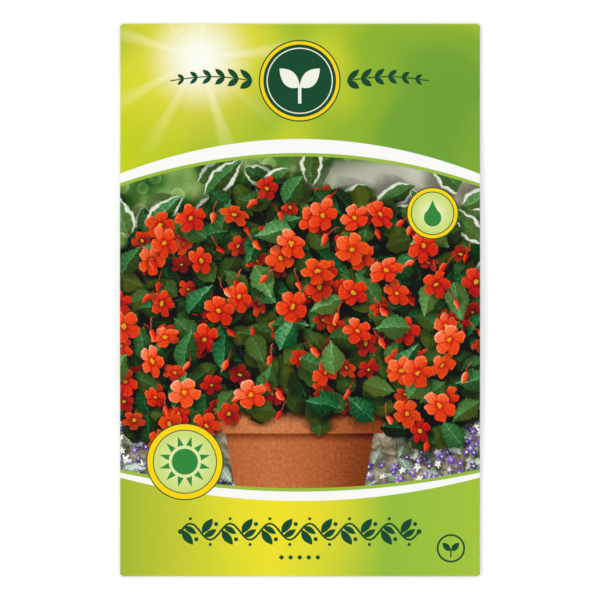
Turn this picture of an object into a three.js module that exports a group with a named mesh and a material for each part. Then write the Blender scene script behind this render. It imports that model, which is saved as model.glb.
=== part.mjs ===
// A sealed paper packet of flower seed, lying on its back.
//
// The packet is one sheet of coated paper, cut as a flat blank and folded:
//
//            +------------+                    the blank, printed side towards you
//            |  top flap  |                    (its grid's columns stand up it, its rows run across)
//   +--------+------------+---+
//   |  back  |   front    |tab|
//   +--------+------------+---+
//            | bottom flap|
//            +------------+
//
// The back panel folds under the front on the left, and the tab under it on the right. The back
// is glued over the tab, and the two flaps over the ends of the back. Inside lies a heat-sealed
// sachet of two foil films, which holds the pelleted seeds.
//
// Millimetres. +X runs across the front, +Y up the print, +Z out of the front. The origin is the
// middle of the packet on the surface that it lies on.

import * as THREE from "three";

// ---------------------------------------------------------------- driving dimensions

const PACKET_WIDTH = 95;
const PACKET_HEIGHT = 146;
const PAPER = 0.15; // thickness of the coated paper
const GLUE = 0.06; // thickness of an adhesive line
const GLUE_MARGIN = 1.5; // bare paper round each adhesive line
const CLEAR = 0.02; // air left between faces that touch on the real packet
const BULGE = 2.6; // how far the sachet pushes the panels apart in the middle
const EDGE_LIFT = 0.9; // how far the side folds stand up off the surface at mid-height

const TAB_WIDTH = 11;
const FREE_EDGE_INSET = 2; // from the right fold to the back panel's free edge
const FLAP_INSET = 0.5; // each flap is this much narrower than the front, at each end of its fold
const FLAP_TAPER = 5; // and narrows by this much more at its free edge
const BOTTOM_FLAP = 11;
const TOP_FLAP = 14;

const SACHET = { width: 60, height: 76, film: 0.08, seal: 6, swell: 2.3 };
const SACHET_CENTRE_Y = -4;
const SEED = { count: 12, radius: 0.55, spacing: 2.1, centreY: -12 };

// ---------------------------------------------------------------- worked out from them

const LAYER_STEP = PAPER + GLUE + 2 * CLEAR; // from one glued layer's middle to the next
const FOLD_GAP = 2 * LAYER_STEP + CLEAR; // front middle to back middle where they are pressed flat
const FLAP_Z = PAPER / 2; // middle of the flaps, which lie on the surface
const BACK_Z = FLAP_Z + LAYER_STEP; // middle of the back panel where it is lowest
const FRONT_Z = BACK_Z + FOLD_GAP; // middle of the front panel at the pressed ends

const LEFT_FOLD = FOLD_GAP / 2; // radius of the paper's middle round each fold
const RIGHT_FOLD = (FOLD_GAP - LAYER_STEP) / 2;
const END_FOLD = (FRONT_Z - FLAP_Z) / 2;

const LEFT_X = -PACKET_WIDTH / 2 + LEFT_FOLD + PAPER / 2; // where the front meets each fold
const RIGHT_X = PACKET_WIDTH / 2 - RIGHT_FOLD - PAPER / 2;
const END_Y = PACKET_HEIGHT / 2 - END_FOLD - PAPER / 2;
const OPEN_END = PACKET_HEIGHT / 2 - TOP_FLAP; // beyond this the glued flaps keep the packet flat

const FREE_EDGE_X = PACKET_WIDTH / 2 - FREE_EDGE_INSET;
const TAB_X = PACKET_WIDTH / 2 - TAB_WIDTH;
const FLAP_HALF = PACKET_WIDTH / 2 - FLAP_INSET;

// How finely the curves are cut into facets.
const FOLD_STEPS = 6;
const BACK_STEPS = 7;
const FRONT_STEPS = 12;
const OPEN_STEPS = 14; // up the stretch between the pressed ends
const FILM_STEPS = 10;

// ---------------------------------------------------------------- the panels' shape

/** 1 on the packet's centre line, falling as a parabola to 0 at its side folds. */
function acrossLens(x) {
  return 1 - ((2 * x) / PACKET_WIDTH) ** 2;
}

/** 1 at mid-height, falling smoothly to 0 where the pressed ends begin. */
function alongLens(y) {
  return THREE.MathUtils.smoothstep(OPEN_END - Math.abs(y), 0, OPEN_END);
}

/** Height of the back panel's middle: its centre line lies low, and its sides lift. */
function backHeight(x, y) {
  return BACK_Z + EDGE_LIFT * alongLens(y) * (1 - acrossLens(x));
}

/** Height of the front panel's middle. */
function frontHeight(x, y) {
  return backHeight(x, y) + FOLD_GAP + BULGE * alongLens(y) * acrossLens(x);
}

// ---------------------------------------------------------------- helpers

/** Evenly spaced numbers from a to b, both included. */
function steps(a, b, count) {
  return Array.from({ length: count + 1 }, (_, i) => a + ((b - a) * i) / count);
}

/** Angles round a fold, from 0 to half a turn, neither included. */
function foldAngles() {
  return steps(0, Math.PI, FOLD_STEPS).slice(1, -1);
}

/**
 * One closed solid of even thickness round a grid of middle-surface points.
 * grid[row][column] is a Vector3, or null where the blank is cut away. The outer face is on the
 * left-hand side of the turn from a column step to a row step, as on a page read from above.
 */
function thickSheet(grid, thickness) {
  const at = (r, c) => grid[r]?.[c] ?? null;
  const filled = (r, c) => [at(r, c), at(r, c + 1), at(r + 1, c), at(r + 1, c + 1)].every(Boolean);
  const positions = [];
  const index = [];
  const numbers = new Map();

  // The outer and inner vertex numbers of a grid point, made when they are first asked for.
  const pair = (r, c) => {
    const key = `${r},${c}`;
    if (!numbers.has(key)) {
      const here = at(r, c);
      const alongRow = (at(r, c + 1) ?? here).clone().sub(at(r, c - 1) ?? here);
      const upColumn = (at(r + 1, c) ?? here).clone().sub(at(r - 1, c) ?? here);
      const half = alongRow.cross(upColumn).setLength(thickness / 2);
      const first = positions.length / 3;
      positions.push(...here.clone().add(half).toArray());
      positions.push(...here.clone().sub(half).toArray());
      numbers.set(key, [first, first + 1]);
    }
    return numbers.get(key);
  };
  const quad = (a, b, c, d) => index.push(a, b, c, a, c, d);

  for (let r = 0; r < grid.length - 1; r++) {
    for (let c = 0; c < grid[r].length - 1; c++) {
      if (!filled(r, c)) continue;
      const corners = [pair(r, c), pair(r, c + 1), pair(r + 1, c + 1), pair(r + 1, c)];
      const outer = corners.map((p) => p[0]);
      const inner = corners.map((p) => p[1]);
      quad(...outer);
      quad(...inner.toReversed());
      const neighbours = [filled(r - 1, c), filled(r, c + 1), filled(r + 1, c), filled(r, c - 1)];
      neighbours.forEach((open, side) => {
        const next = (side + 1) % 4;
        if (!open) quad(outer[next], outer[side], inner[side], inner[next]);
      });
    }
  }
  const geometry = new THREE.BufferGeometry();
  geometry.setAttribute("position", new THREE.Float32BufferAttribute(positions, 3));
  geometry.setIndex(index);
  geometry.computeVertexNormals();
  return geometry;
}

/** A named mesh with its own material. */
function piece(name, geometry, look) {
  const mesh = new THREE.Mesh(geometry, new THREE.MeshStandardMaterial(look));
  mesh.name = name;
  return mesh;
}

// ---------------------------------------------------------------- the folded sheet

/**
 * The columns of the blank, from the back's free edge to the tab's. Each gives the point of the
 * folded tube at height y up the packet, and says whether it is a column of the front panel.
 */
function blankColumns() {
  const back = [FREE_EDGE_X, (FREE_EDGE_X + TAB_X) / 2, ...steps(TAB_X, LEFT_X, BACK_STEPS)];
  const front = [LEFT_X, ...steps(-FLAP_HALF, FLAP_HALF, FRONT_STEPS), RIGHT_X];
  const tab = [RIGHT_X, (FREE_EDGE_X + TAB_X) / 2, TAB_X];
  const panel = (xs, height, isFront = false) =>
    xs.map((x) => ({ isFront, x, at: (y) => new THREE.Vector3(x, y, height(x, y)) }));
  const fold = (x, radius, side) =>
    foldAngles().map((angle) => ({
      isFront: false,
      at: (y) => {
        const turned = side < 0 ? angle : Math.PI - angle;
        const middle = frontHeight(x, y) - radius;
        return new THREE.Vector3(
          x + side * radius * Math.sin(turned),
          y,
          middle - radius * Math.cos(turned),
        );
      },
    }));
  return [
    ...panel(back, backHeight),
    ...fold(LEFT_X, LEFT_FOLD, -1),
    ...panel(front, frontHeight, true),
    ...fold(RIGHT_X, RIGHT_FOLD, 1),
    ...panel(tab, (x, y) => backHeight(x, y) + LAYER_STEP),
  ];
}

/**
 * The rows of one flap, from the one next to the front panel to its free edge. end is +1 at the
 * top and -1 at the bottom. x is where the flap's column leaves the front panel.
 */
function flapRows(end, depth) {
  const middle = (FRONT_Z + FLAP_Z) / 2;
  const round = foldAngles().map((angle) => (x) => {
    const y = end * (END_Y + END_FOLD * Math.sin(angle));
    return new THREE.Vector3(x, y, middle + END_FOLD * Math.cos(angle));
  });
  const flat = steps(0, 1, 2).map((share) => (x) => {
    const narrowed = x * (1 - (share * FLAP_TAPER) / FLAP_HALF);
    return new THREE.Vector3(narrowed, end * (END_Y - share * depth), FLAP_Z);
  });
  return [...round, ...flat];
}

function packetSheet() {
  const columns = blankColumns();
  const tube = [-END_Y, ...steps(-OPEN_END, OPEN_END, OPEN_STEPS), END_Y];
  const flap = (end, depth) =>
    flapRows(end, depth).map((row) =>
      columns.map((column) =>
        column.isFront && Math.abs(column.x) <= FLAP_HALF ? row(column.x) : null,
      ),
    );
  const grid = [
    ...flap(-1, BOTTOM_FLAP).toReversed(),
    ...tube.map((y) => columns.map((column) => column.at(y))),
    ...flap(1, TOP_FLAP),
  ];
  return piece("packet_sheet", thickSheet(grid, PAPER), {
    color: 0x9cbc3c,
    roughness: 0.42,
    metalness: 0,
    side: THREE.DoubleSide,
  });
}

// ---------------------------------------------------------------- adhesive lines

const GLUE_LOOK = { color: 0xe9e2c8, roughness: 0.5, metalness: 0 };

/** The line between the tab and the back panel, which follows the back panel's curve. */
function sideSeamGlue() {
  const across = steps(TAB_X + GLUE_MARGIN, FREE_EDGE_X - GLUE_MARGIN, 2);
  const end = END_Y - GLUE_MARGIN;
  const along = [-end, ...steps(-OPEN_END, OPEN_END, OPEN_STEPS), end];
  const lift = LAYER_STEP / 2;
  const grid = along.map((y) => across.map((x) => new THREE.Vector3(x, y, backHeight(x, y) + lift)));
  return piece("side_seam_glue", thickSheet(grid, GLUE), GLUE_LOOK);
}

/** The flat line between a flap and the end of the back panel. */
function flapGlue(name, end, depth) {
  const width = 2 * (FLAP_HALF - FLAP_TAPER - GLUE_MARGIN);
  const length = depth - 2 * GLUE_MARGIN;
  const mesh = piece(name, new THREE.BoxGeometry(width, length, GLUE), GLUE_LOOK);
  mesh.position.set(0, end * (END_Y - depth / 2), (FLAP_Z + BACK_Z) / 2);
  return mesh;
}

// ---------------------------------------------------------------- sachet and seeds

/** How far the sachet's films stand apart: 0 on the heat seals, most in the middle. */
function sachetSwell(x, y) {
  const halfX = SACHET.width / 2 - SACHET.seal;
  const halfY = SACHET.height / 2 - SACHET.seal;
  const inX = Math.max(0, 1 - (x / halfX) ** 2);
  const inY = Math.max(0, 1 - ((y - SACHET_CENTRE_Y) / halfY) ** 2);
  return SACHET.swell * inX * inY;
}

/** Height of the middle of the back film, which lies on the inside of the back panel. */
function backFilmHeight(x, y) {
  return backHeight(x, y) + PAPER / 2 + 3 * CLEAR + SACHET.film / 2;
}

/** Height of the middle of the front film. */
function frontFilmHeight(x, y) {
  return backFilmHeight(x, y) + SACHET.film + CLEAR + sachetSwell(x, y);
}

function sachetFilm(name, height) {
  const halfX = SACHET.width / 2;
  const halfY = SACHET.height / 2;
  const across = [-halfX, ...steps(SACHET.seal - halfX, halfX - SACHET.seal, FILM_STEPS), halfX];
  const along = [-halfY, ...steps(SACHET.seal - halfY, halfY - SACHET.seal, FILM_STEPS), halfY];
  const grid = along.map((y) =>
    across.map((x) => {
      const up = y + SACHET_CENTRE_Y;
      return new THREE.Vector3(x, up, height(x, up));
    }),
  );
  return piece(name, thickSheet(grid, SACHET.film), {
    color: 0xc9ccd0,
    roughness: 0.3,
    metalness: 0.9,
    side: THREE.DoubleSide,
  });
}

/** Pelleted seeds in a loose round heap one layer deep, set out as in a sunflower's head. */
function seedPellets() {
  const goldenAngle = Math.PI * (3 - Math.sqrt(5));
  return Array.from({ length: SEED.count }, (_, i) => {
    const reach = SEED.spacing * Math.sqrt(i + 0.5);
    const x = reach * Math.cos(i * goldenAngle);
    const y = SEED.centreY + reach * Math.sin(i * goldenAngle);
    const z = backFilmHeight(x, y) + SACHET.film / 2 + CLEAR + SEED.radius;
    const name = `seed_pellet_${String(i + 1).padStart(2, "0")}`;
    const mesh = piece(name, new THREE.IcosahedronGeometry(SEED.radius, 1), {
      color: 0xd9a13b,
      roughness: 0.8,
      metalness: 0,
    });
    mesh.position.set(x, y, z);
    mesh.rotation.set(i, 2 * i, 0);
    return mesh;
  });
}

// ---------------------------------------------------------------- the packet

const packet = new THREE.Group();
packet.add(packetSheet());
packet.add(sideSeamGlue());
packet.add(flapGlue("bottom_flap_glue", -1, BOTTOM_FLAP));
packet.add(flapGlue("top_flap_glue", 1, TOP_FLAP));
packet.add(sachetFilm("sachet_back_film", backFilmHeight));
packet.add(sachetFilm("sachet_front_film", frontFilmHeight));
packet.add(...seedPellets());

export default packet;
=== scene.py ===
# %% [markdown]
# # A sealed packet of flower seed
#
# A seed packet is one sheet of coated paper, folded into a flat tube, with both ends turned over
# and glued. The print is what people know it by, so most of this lesson is about painting a print
# with shader maths. The rest is paper: how a thin sheet bends, and how it shines.
#
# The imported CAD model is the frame. Each piece below stands where its CAD node stands, and is
# finer than it. All sizes are in millimetres until the moment that a mesh is made.

from types import SimpleNamespace

import bpy
import numpy as np
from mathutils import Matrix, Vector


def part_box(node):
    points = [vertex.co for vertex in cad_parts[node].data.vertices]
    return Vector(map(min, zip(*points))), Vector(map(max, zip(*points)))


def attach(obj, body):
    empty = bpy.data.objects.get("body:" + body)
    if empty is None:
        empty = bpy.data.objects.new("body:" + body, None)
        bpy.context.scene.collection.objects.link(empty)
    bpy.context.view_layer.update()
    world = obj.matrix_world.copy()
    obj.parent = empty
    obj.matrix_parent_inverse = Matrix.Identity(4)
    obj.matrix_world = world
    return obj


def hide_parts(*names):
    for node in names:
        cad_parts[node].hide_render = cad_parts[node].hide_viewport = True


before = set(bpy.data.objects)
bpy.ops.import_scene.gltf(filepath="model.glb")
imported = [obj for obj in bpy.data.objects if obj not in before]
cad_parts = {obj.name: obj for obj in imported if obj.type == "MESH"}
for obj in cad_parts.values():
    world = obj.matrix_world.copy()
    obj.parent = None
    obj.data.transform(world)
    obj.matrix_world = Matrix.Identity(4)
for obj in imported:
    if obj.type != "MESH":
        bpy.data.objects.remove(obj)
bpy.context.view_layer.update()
print(f"The frame holds {len(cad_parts)} nodes.")

MM = 0.001
sheet_low, sheet_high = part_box("packet_sheet")
WIDTH, HEIGHT, DEPTH = (round(side / MM, 2) for side in sheet_high - sheet_low)
print(f"The packet is {WIDTH} mm wide, {HEIGHT} mm high and {DEPTH} mm thick.")

# %% [markdown]
# ## How the packet is stacked
#
# Laid on its back, the packet has four layers at its ends: flap, glue, back panel and front panel.
# Every height follows from the paper, the glue and a hair of air between them, just as in the CAD
# source, so the finer pieces keep clear of each other without any fitting.

# %% Thicknesses, folds and panels
PAPER, GLUE, AIR = 0.15, 0.06, 0.02
BULGE, EDGE_LIFT = 2.6, 0.9
TAB, FREE_EDGE_INSET = 11.0, 2.0
FLAP_INSET, FLAP_TAPER = 0.5, 5.0
BOTTOM_FLAP, TOP_FLAP = 11.0, 14.0

LAYER = PAPER + GLUE + 2 * AIR
FOLD_GAP = 2 * LAYER + AIR
FLAP_Z = PAPER / 2
BACK_Z = FLAP_Z + LAYER
FRONT_Z = BACK_Z + FOLD_GAP

LEFT_FOLD = FOLD_GAP / 2
RIGHT_FOLD = (FOLD_GAP - LAYER) / 2
END_FOLD = (FRONT_Z - FLAP_Z) / 2

LEFT_X = -WIDTH / 2 + LEFT_FOLD + PAPER / 2
RIGHT_X = WIDTH / 2 - RIGHT_FOLD - PAPER / 2
END_Y = HEIGHT / 2 - END_FOLD - PAPER / 2
OPEN_END = HEIGHT / 2 - TOP_FLAP
FREE_EDGE_X = WIDTH / 2 - FREE_EDGE_INSET
TAB_X = WIDTH / 2 - TAB
FLAP_HALF = WIDTH / 2 - FLAP_INSET
print(f"The front lies {FRONT_Z:.2f} mm up where the ends are pressed flat.")

# %% [markdown]
# ## The shape of the panels
#
# The sachet inside pushes the panels apart like a lens. Paper can't stretch, so where it has to
# bend two ways at once it buckles a little: low waves stand along the side folds, and the sachet's
# outline shows through as a soft step. Displacing a plane with a texture would give lumps that
# mean nothing, so each of these forms is a formula of its own.

# %% Heights of the back and front panels
SACHET_WIDTH, SACHET_HEIGHT, SACHET_Y = 60.0, 76.0, -4.0
IMPRINT = 0.16
BUCKLE, BUCKLE_REACH = 0.16, 8.0


def smooth(value, low, high):
    """0 below low, 1 above high, and t * t * (3 - 2 t) between, where t runs from 0 to 1."""
    t = np.clip((value - low) / (high - low), 0.0, 1.0)
    return t * t * (3 - 2 * t)


def along_lens(y):
    """1 at mid-height, falling smoothly to 0 where the pressed ends begin."""
    return smooth(OPEN_END - np.abs(y), 0.0, OPEN_END)


def across_lens(x):
    """1 minus the square of x over half the width."""
    return 1 - (2 * x / WIDTH) ** 2


def sachet_step(x, y):
    """1 over the sachet and 0 off it, with a soft edge 6 mm wide."""
    over_x = smooth(SACHET_WIDTH / 2 + 3 - np.abs(x), 0, 6)
    over_y = smooth(SACHET_HEIGHT / 2 + 3 - np.abs(y - SACHET_Y), 0, 6)
    return over_x * over_y


def buckles(x, y):
    """Waves down each side: two sines of y, swelling from the fold as e * exp(1 - e)."""
    inward = (WIDTH / 2 - np.abs(x)) / BUCKLE_REACH
    swell = inward * np.exp(1 - inward)
    wave = np.sin(y / 2.9 + np.sign(x) * 0.9) + 0.6 * np.sin(y / 4.7 - np.sign(x) * 1.7)
    return BUCKLE * swell * wave * np.sqrt(along_lens(y))


def back_height(x, y):
    """Middle of the back panel: lowest on the centre line, lifted towards the side folds."""
    return BACK_Z + EDGE_LIFT * along_lens(y) * (1 - across_lens(x))


def front_height(x, y):
    """Back panel, plus the fold's gap, the lens, the sachet's step and the buckles."""
    lens = (BULGE - IMPRINT) * along_lens(y) * across_lens(x)
    return back_height(x, y) + FOLD_GAP + lens + IMPRINT * sachet_step(x, y) + buckles(x, y)


# %% [markdown]
# ## A sheet with a thickness
#
# Paper, foil and glue are all thin sheets, so one function makes them. It takes the middle
# surface as a grid of points, moves a copy of it out along the normals and another one in, and
# closes the rim. A Solidify modifier could do the same, but here the grid has parts cut away, and
# the outside, the inside and the rim each need to be known afterwards for their own finish.


# %% From a grid of points to a closed sheet
def shifted(grid, rows, columns):
    """grid moved so that each place holds its neighbour's value, with zeros past the edge."""
    padded = np.pad(grid, [(1, 1), (1, 1)] + [(0, 0)] * (grid.ndim - 2))
    high, wide = grid.shape[:2]
    return padded[1 + rows : 1 + rows + high, 1 + columns : 1 + columns + wide]


def unit_normals(points, present):
    """Cross product of the step from the last column to the next and that from the last row to
    the next, each divided by the product's length."""

    def neighbour(rows, columns):
        there = shifted(present, rows, columns)[..., None]
        return np.where(there, shifted(points, rows, columns), points)

    normal = np.cross(neighbour(0, 1) - neighbour(0, -1), neighbour(1, 0) - neighbour(-1, 0))
    return normal / np.maximum(np.linalg.norm(normal, axis=-1, keepdims=True), 1e-12)


def thick_sheet(points, thickness, present=None):
    """Vertices are points +- normal * thickness / 2. Returns them, then the quads of the outer face,
    the inner face and the rim in one array, then how many of these the outer face has."""
    if present is None:
        present = np.ones(points.shape[:2], bool)
    half = unit_normals(points, present) * (np.broadcast_to(thickness, present.shape) / 2)[..., None]
    count = present.sum()
    number = np.zeros(present.shape, int)
    number[present] = np.arange(count)
    corners = np.stack([number[:-1, :-1], number[:-1, 1:], number[1:, 1:], number[1:, :-1]], -1)
    filled = present[:-1, :-1] & present[:-1, 1:] & present[1:, 1:] & present[1:, :-1]
    rims = []
    for side, step in enumerate([(-1, 0), (0, 1), (1, 0), (0, -1)]):
        bare = corners[filled & ~shifted(filled, *step)]
        first, second = bare[:, side], bare[:, (side + 1) % 4]
        rims.append(np.stack([second, first, first + count, second + count], 1))
    outer = corners[filled]
    vertices = np.concatenate([(points + half)[present], (points - half)[present]])
    return vertices, np.concatenate([outer, outer[:, ::-1] + count, *rims]), len(outer)


# %% From arrays to an object that rides on the frame
def add_object(name, data):
    """A new object in the scene, at the origin."""
    thing = bpy.data.objects.new(name, data)
    bpy.context.scene.collection.objects.link(thing)
    return thing


def smooth_mesh(name, vertices, faces):
    """A mesh from places in millimetres, shaded smooth."""
    mesh = bpy.data.meshes.new(name)
    mesh.from_pydata((vertices * MM).tolist(), [], [list(face) for face in faces])
    mesh.polygons.foreach_set("use_smooth", np.ones(len(mesh.polygons), bool))
    return mesh


def make_piece(name, vertices, faces, node, slot, crease=40):
    """A piece at the origin, smooth except where faces meet at more than crease degrees."""
    mesh = smooth_mesh(name, vertices, faces)
    mesh.set_sharp_from_angle(angle=np.radians(crease))
    mesh.validate()
    piece = add_object(name, mesh)
    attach(piece, "root")
    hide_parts(node)
    print(f"{name}: {len(vertices)} vertices, {len(faces)} faces.")
    return piece


def make_sheet(name, x, y, height, thickness, node, slot, crease=40):
    """A thick sheet over a grid of x and y, with its middle surface at that height."""
    points = np.stack([x, y, height(x, y)], -1)
    return make_piece(name, *thick_sheet(points, thickness)[:2], node, slot, crease)


def add_map(piece, name, corners):
    """A UV map from an array with one (u, v) for each corner of each face."""
    uv_map = piece.data.uv_layers.new(name=name)
    uv_map.uv.foreach_set("vector", np.asarray(corners, np.float32).ravel())


# %% [markdown]
# ## Folding the blank
#
# A printer thinks of the packet as a flat blank. So does this grid: its columns stand side by side
# across the back, the left fold, the front, the right fold and the tab, and its rows run from the
# bottom flap up to the top flap. Each point knows its place on the blank, which becomes the UV
# map that the print is drawn on, and its place on the folded packet.

# %% Columns across the blank
GRAIN = 1.25
FOLD_STEPS = 10


def spread(start, end, step):
    """Evenly spaced numbers from start to end, about a step apart."""
    return np.linspace(start, end, max(2, int(round(abs(end - start) / step)) + 1))


half_turn = np.linspace(0, np.pi, FOLD_STEPS + 1)[1:-1]
back_x = spread(FREE_EDGE_X, LEFT_X, GRAIN)
front_x = np.concatenate([[LEFT_X], spread(-FLAP_HALF, FLAP_HALF, GRAIN), [RIGHT_X]])
tab_x = spread(RIGHT_X, TAB_X, GRAIN)

left_arc, right_arc = np.pi * LEFT_FOLD, np.pi * RIGHT_FOLD
front_u = left_arc / 2 + front_x - LEFT_X
right_u = front_u[-1] + right_arc / 2

# Each run of columns: its x, how far it has turned from lying on the back to being the front,
# the fold's radius with the side that it bulges to, its lift off the back, and its u on the blank.
runs = [
    (back_x, 0, 0, 0, -left_arc / 2 - (back_x - LEFT_X)),
    (LEFT_X, half_turn, -LEFT_FOLD, 0, left_arc * (half_turn / np.pi - 0.5)),
    (front_x, np.pi, 0, 0, front_u),
    (RIGHT_X, half_turn[::-1], RIGHT_FOLD, LAYER, right_u + right_arc * (0.5 - half_turn[::-1] / np.pi)),
    (tab_x, 0, 0, LAYER, right_u + right_arc / 2 + RIGHT_X - tab_x),
]
column_x, turn, radius, lift, column_u = (
    np.concatenate([np.broadcast_to(run[i], np.shape(run[4])) for run in runs]) for i in range(5)
)
has_flap = (turn == np.pi) & (np.abs(column_x) <= FLAP_HALF + AIR)
print(f"The blank is {column_u.max() - column_u.min():.1f} mm wide, in {len(column_u)} columns.")

# %% Rows up the blank, and the folded sheet
end_arc = np.pi * END_FOLD
tube_y = spread(-END_Y, END_Y, GRAIN)
BLANK_HEIGHT = 2 * END_Y + end_arc


def tube(y):
    """Each column stands at mid-height - half-gap * cos(turn), and bulges by radius * sin(turn)."""
    x = column_x + radius * np.sin(turn) + 0 * y[:, None]
    upper = front_height(column_x, y[:, None])
    lower = back_height(column_x, y[:, None]) + lift
    z = (upper + lower) / 2 - (upper - lower) / 2 * np.cos(turn)
    return np.stack([x, y[:, None] + 0 * x, z], -1)


def flap(end, length):
    """Half a turn round the end fold, then flat along the surface, with its sides drawn in."""
    share = np.concatenate([0 * half_turn, spread(0, 1, GRAIN / length)])
    angle = np.concatenate([half_turn, np.full(len(share) - len(half_turn), np.pi)])
    x = column_x * (1 - share[:, None] * FLAP_TAPER / FLAP_HALF)
    y = end * (END_Y + END_FOLD * np.sin(angle) - share * length)
    z = (FRONT_Z + FLAP_Z) / 2 + END_FOLD * np.cos(angle)
    past = end_arc * (angle / np.pi - 0.5) + share * length
    return np.stack([x, y[:, None] + 0 * x, z[:, None] + 0 * x], -1), past


bottom, bottom_past = flap(-1, BOTTOM_FLAP)
top, top_past = flap(1, TOP_FLAP)
row_v = np.concatenate([-bottom_past[::-1], tube_y + END_Y + end_arc / 2, BLANK_HEIGHT + top_past])
folded = np.concatenate([bottom[::-1], tube(tube_y), top])
in_flap = np.repeat([True, False, True], [len(bottom), len(tube_y), len(top)])
present = np.where(in_flap[:, None], has_flap[None, :], True)
vertices, faces, outer_count = thick_sheet(folded, PAPER, present)
packet = make_piece("packet_paper", vertices, faces, "packet_sheet", "printed_paper")
print(f"The blank is {row_v.max() - row_v.min():.1f} mm high.")

# %% [markdown]
# ## Two maps of the blank
#
# The first map is the blank itself, in millimetres, with the front panel's lower left corner at
# zero. Every pattern in the print reads it, so the print runs round the folds as it does on the
# real sheet. The second map is for baking. It gives most of the square to the front panel, where
# the detail is, about a fifth to the back, and a corner to the unprinted faces.

# %% The blank's own map, in millimetres
net = np.stack(np.broadcast_arrays(column_u[None, :], row_v[:, None]), -1)[present]
on_net = net[faces % len(net)]
add_map(packet, "Blank", on_net)

# %% The map for baking
FRONT_SCALE, BACK_SCALE, TAB_SCALE, INNER_SCALE = 1 / 149, 1 / 280, 1 / 420, 1 / 760
RIM_SQUARE, RIM_STEP, RIM_ROW = 0.0035, 0.005, 40

u, v = on_net.mean(axis=1).T
is_outer = np.arange(len(faces)) < outer_count
is_rim = np.arange(len(faces)) >= 2 * outer_count
over_front = is_outer & (u > 0) & (u < right_u)
is_front = over_front & (v > 0) & (v < BLANK_HEIGHT)
# Each island: its faces, its corner on the blank, and the corner and the scale of its place.
islands = [
    (is_front, (-0.5, -0.5), (0.005, 0.005), FRONT_SCALE),
    (is_outer & (u < 0), (-94, 0), (0.655, 0.005), BACK_SCALE),
    (over_front & (v < 0), (0, -12), (0.655, 0.55), BACK_SCALE),
    (over_front & (v > BLANK_HEIGHT), (0, BLANK_HEIGHT), (0.655, 0.60), BACK_SCALE),
    (is_outer & (u > right_u), (right_u, 0), (0.94, 0.56), TAB_SCALE),
    (~is_outer & ~is_rim, (-94, -16), (0.655, 0.67), INNER_SCALE),
]
baked = np.zeros_like(on_net)
for chosen, corner, place, scale in islands:
    baked[chosen] = np.array(place) + (on_net[chosen] - corner) * scale
# Each quad of the rim gets a small square of its own.
order = np.arange(is_rim.sum())
row, column = order // RIM_ROW, order % RIM_ROW
rim_corners = np.array([(0, 0), (1, 0), (1, 1), (0, 1)]) * RIM_SQUARE
baked[is_rim] = np.stack([0.66 + column * RIM_STEP, 0.93 + row * RIM_STEP], -1)[:, None] + rim_corners
add_map(packet, "OFBake", baked)
print(f"The baking map spans {baked.min():.3f} to {baked.max():.3f}.")

# %% [markdown]
# ## Painting with sums
#
# An image would be the usual way to print something. This one is worked out instead, so it stays
# sharp at any distance. Blender's shader nodes are awkward to write one by one, so a small class
# wraps a socket and lets Python's operators add the Math nodes: "1 - mask" is one node.


# %% A socket that takes part in Python's sums
def paint_of(values):
    """The tree being filled that the first wire among the values belongs to."""
    return next(value.paint for value in values if isinstance(value, Wire))


def maths(operation):
    """A function that adds that Math node, with its values as inputs."""
    return lambda *values: paint_of(values).node("ShaderNodeMath", {"operation": operation}, values)


def reflected(add_node):
    """The same, for a wire that stands on the right of its operator."""
    return lambda wire, other: add_node(other, wire)


class Wire:
    """One value as it varies over a surface."""

    def __init__(self, paint, socket):
        self.paint, self.socket = paint, socket

    __add__ = __radd__ = maths("ADD")
    __mul__ = __rmul__ = maths("MULTIPLY")
    __sub__, __rsub__ = maths("SUBTRACT"), reflected(maths("SUBTRACT"))
    __truediv__, __rtruediv__ = maths("DIVIDE"), reflected(maths("DIVIDE"))
    __pow__, __rpow__ = maths("POWER"), reflected(maths("POWER"))
    __lt__, __gt__, __abs__ = maths("LESS_THAN"), maths("GREATER_THAN"), maths("ABSOLUTE")


least, most = maths("MINIMUM"), maths("MAXIMUM")
sine, cosine, turn_of = maths("SINE"), maths("COSINE"), maths("ARCTAN2")
fraction, whole, sign = maths("FRACT"), maths("FLOOR"), maths("SIGN")


def colour(code):
    """Linear red, green, blue and alpha from a web colour such as #e8431f."""
    shares = [int(code[i : i + 2], 16) / 255 for i in (1, 3, 5)]
    return (*(s / 12.92 if s < 0.04045 else ((s + 0.055) / 1.055) ** 2.4 for s in shares), 1.0)


# %% A node tree, and the one method that adds nodes to it
class Paint:
    """A tree of shader nodes being filled, from coordinates to a surface."""

    def __init__(self, tree):
        self.tree = tree
        self.tree.nodes.clear()

    def node(self, kind, settings=(), inputs=(), output=0):
        """Adds a node: settings first, then its sockets, by number or by name. A socket takes a
        wire, a number, a vector or a web colour."""
        node = self.tree.nodes.new(kind)
        count = len(self.tree.nodes)
        node.location = (count // 12 * 180, count % 12 * -160)
        for name, value in dict(settings).items():
            if name == "stops":
                self.set_stops(node.color_ramp.elements, value)
            else:
                setattr(node, name, value)
        for key, value in inputs.items() if isinstance(inputs, dict) else enumerate(inputs):
            if isinstance(value, Wire):
                self.tree.links.new(value.socket, node.inputs[key])
            else:
                node.inputs[key].default_value = colour(value) if isinstance(value, str) else value
        return Wire(self, node.outputs[output]) if node.outputs else None

    @staticmethod
    def set_stops(elements, stops):
        """Gives a colour ramp one stop for each place and its web colour."""
        while len(elements) < len(stops):
            elements.new(0.5)
        for element, (place, code) in zip(elements, stops.items()):
            element.position, element.color = place, colour(code)

    def on_object(self):
        """The place on the piece, in metres from the object's origin."""
        return self.node("ShaderNodeTexCoord", output="Object")


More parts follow.
